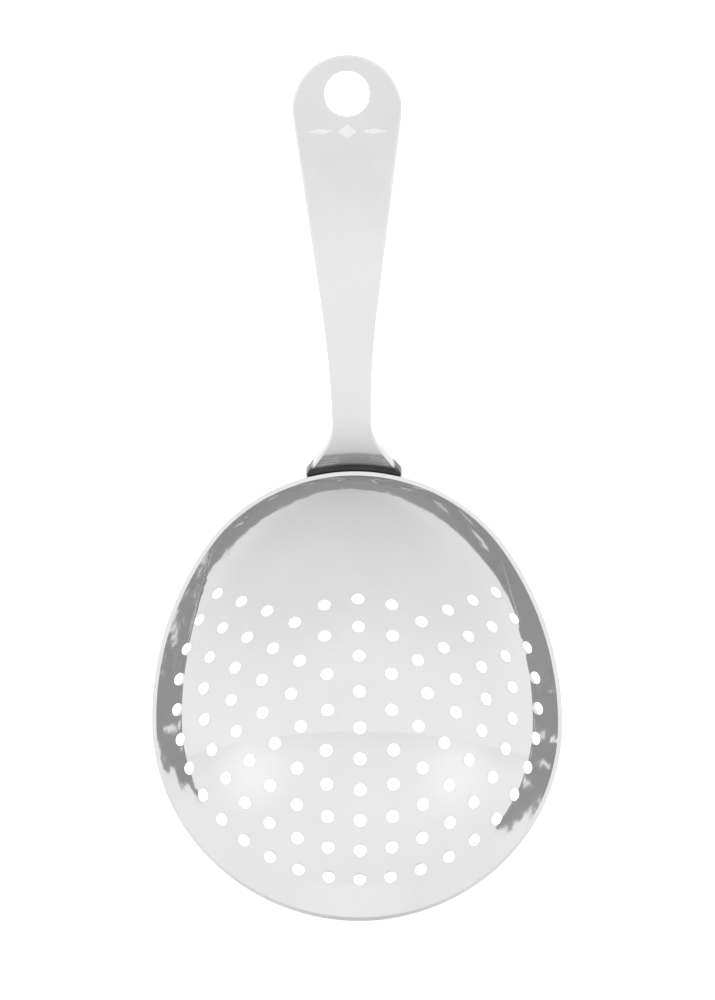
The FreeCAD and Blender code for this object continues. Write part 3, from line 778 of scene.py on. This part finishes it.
bowl_steel = steel("bowl_steel", STEEL_TINT, 0.055, 0.006, 0.00004, wall_waviness=0.06)
# The handle's steel carries painted shade in the gap where its foot meets the bowl wall.
handle_steel = steel("handle_steel", STEEL_TINT, 0.09, 0.004, 0.00006, seam_shade=(-1.9, -1.3))
weld_steel = steel("weld_steel", (0.5, 0.5, 0.5), 0.4, 0.01, 0.0005)
ornament_steel = etched_steel()

bowl = bowl_skin().piece("bowl_sheet", [bowl_steel])
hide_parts("bowl")
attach(bowl, "root")

handle = handle_skin().piece("handle_strap", [handle_steel, ornament_steel])
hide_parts("handle")
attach(handle, "root")

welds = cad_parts["weld_nuggets"]
welds.data.materials.clear()
welds.data.materials.append(weld_steel)

# ---------------------------------------------------------------- studio

FLOOR_SIZE = 2.6
FLOOR_GAP = 0.0001


def studio_floor():
    """A plain white floor under the strainer."""
    half = FLOOR_SIZE / 2
    level = cad_box[0].z - FLOOR_GAP
    mesh = bpy.data.meshes.new("floor")
    mesh.from_pydata([(-half, -half, level), (half, -half, level), (half, half, level),
                      (-half, half, level)], [], [(0, 1, 2, 3)])
    floor = bpy.data.objects.new("floor", mesh)
    bpy.context.scene.collection.objects.link(floor)
    material = bpy.data.materials.new("floor_white")
    material.use_nodes = True
    tree = material.node_tree
    shader = tree.nodes["Principled BSDF"]
    place = node(tree, "ShaderNodeTexCoord").outputs["Object"]
    mottle = node(tree, "ShaderNodeTexNoise", {"Vector": place, "Scale": 40.0, "Detail": 2.0})
    tree.links.new(ranged(tree, mottle.outputs["Fac"], 0.55, 0.65), shader.inputs["Roughness"])
    shader.inputs["Base Color"].default_value = (0.93, 0.93, 0.93, 1.0)
    shader.inputs["Specular IOR Level"].default_value = 0.1
    shader.inputs["Emission Color"].default_value = (1.0, 1.0, 1.0, 1.0)
    shader.inputs["Emission Strength"].default_value = 0.22
    mesh.materials.append(material)


# Radiance of the room at heights from straight down, -1, to straight up, 1.
SKY_LEVELS = ((-1.0, 2.1), (-0.12, 2.1), (-0.02, 2.2), (0.12, 2.35),
              (0.5, 2.35), (0.9, 2.25), (1.0, 2.4))
SKY_PEAK = 3.2
# Direction of the right-hand softbox, and its reach and share; the left-hand one mirrors it.
SOFTBOX = (0.69, -0.69, 0.19)
SOFTBOX_REACH = 0.4
SOFTBOX_SHARE = 0.12
SOFTBOX_COLOUR = (1.5, 1.5, 1.5, 1.0)


def studio_sky():
    """A white room, a little brighter overhead, with two faint softboxes to the front."""
    world = bpy.data.worlds.new("studio")
    bpy.context.scene.world = world
    world.use_nodes = True
    tree = world.node_tree
    tree.nodes.clear()
    direction = node(tree, "ShaderNodeTexCoord").outputs["Generated"]
    height = node(tree, "ShaderNodeSeparateXYZ", {"Vector": direction}).outputs["Z"]
    ramp = node(tree, "ShaderNodeValToRGB", {"Fac": ranged(tree, height, 0.0, 1.0, -1.0, 1.0)})
    elements = ramp.color_ramp.elements
    while len(elements) < len(SKY_LEVELS):
        elements.new(0.5)
    for element, (at, level) in zip(elements, SKY_LEVELS):
        element.position = (at + 1) / 2
        element.color = (*[level / SKY_PEAK] * 3, 1.0)
    folded = node(tree, "ShaderNodeVectorMath", {0: direction}, operation="ABSOLUTE")
    across = node(tree, "ShaderNodeSeparateXYZ", {"Vector": folded.outputs["Vector"]}).outputs["X"]
    rest = node(tree, "ShaderNodeSeparateXYZ", {"Vector": direction})
    mirrored = node(tree, "ShaderNodeCombineXYZ", {"X": across, "Y": rest.outputs["Y"],
                                                   "Z": rest.outputs["Z"]})
    apart = node(tree, "ShaderNodeVectorMath", {0: mirrored.outputs["Vector"], 1: SOFTBOX},
                 operation="DISTANCE")
    glow = node(tree, "ShaderNodeMapRange", {"Value": apart.outputs["Value"], "From Min": 0.0,
                                             "From Max": SOFTBOX_REACH, "To Min": SOFTBOX_SHARE,
                                             "To Max": 0.0},
                interpolation_type="SMOOTHSTEP")
    lit = node(tree, "ShaderNodeMix", {"Factor": glow.outputs["Result"]}, data_type="RGBA")
    tree.links.new(ramp.outputs["Color"], lit.inputs[MIX_A])
    lit.inputs[MIX_B].default_value = SOFTBOX_COLOUR
    background = node(tree, "ShaderNodeBackground", {"Color": lit.outputs[MIX_RESULT], "Strength": SKY_PEAK})
    node(tree, "ShaderNodeOutputWorld", {"Surface": background.outputs["Background"]})


studio_floor()
studio_sky()

# ---------------------------------------------------------------- camera

CAMERA_PLACE = (20.2, -599.4, 158.5)
CAMERA_TURN = math.radians(1.87)
CAMERA_DIP = math.radians(10.87)
CAMERA_ROLL = math.radians(-0.67)
FOCAL_LENGTH = 3.262
SENSOR = 36.0


def camera():
    """A viewpoint a little above and a little to the right, held almost level."""
    ahead = Vector((-math.sin(CAMERA_TURN) * math.cos(CAMERA_DIP),
                    math.cos(CAMERA_TURN) * math.cos(CAMERA_DIP), -math.sin(CAMERA_DIP)))
    level = Vector((math.cos(CAMERA_TURN), math.sin(CAMERA_TURN), 0))
    upright = level.cross(ahead)
    right = level * math.cos(CAMERA_ROLL) + upright * math.sin(CAMERA_ROLL)
    up = right.cross(ahead)
    data = bpy.data.cameras.new("camera")
    data.sensor_width = SENSOR
    data.lens = FOCAL_LENGTH * SENSOR
    data.clip_start = 0.01
    data.clip_end = 50.0
    made = bpy.data.objects.new("camera", data)
    made.matrix_world = Matrix.Translation(Vector(CAMERA_PLACE) * MM) @ Matrix(
        (right, up, -ahead)).transposed().to_4x4()
    bpy.context.scene.collection.objects.link(made)
    bpy.context.scene.camera = made


camera()
bpy.context.scene.view_settings.view_transform = "Standard"

bpy.context.view_layer.update()
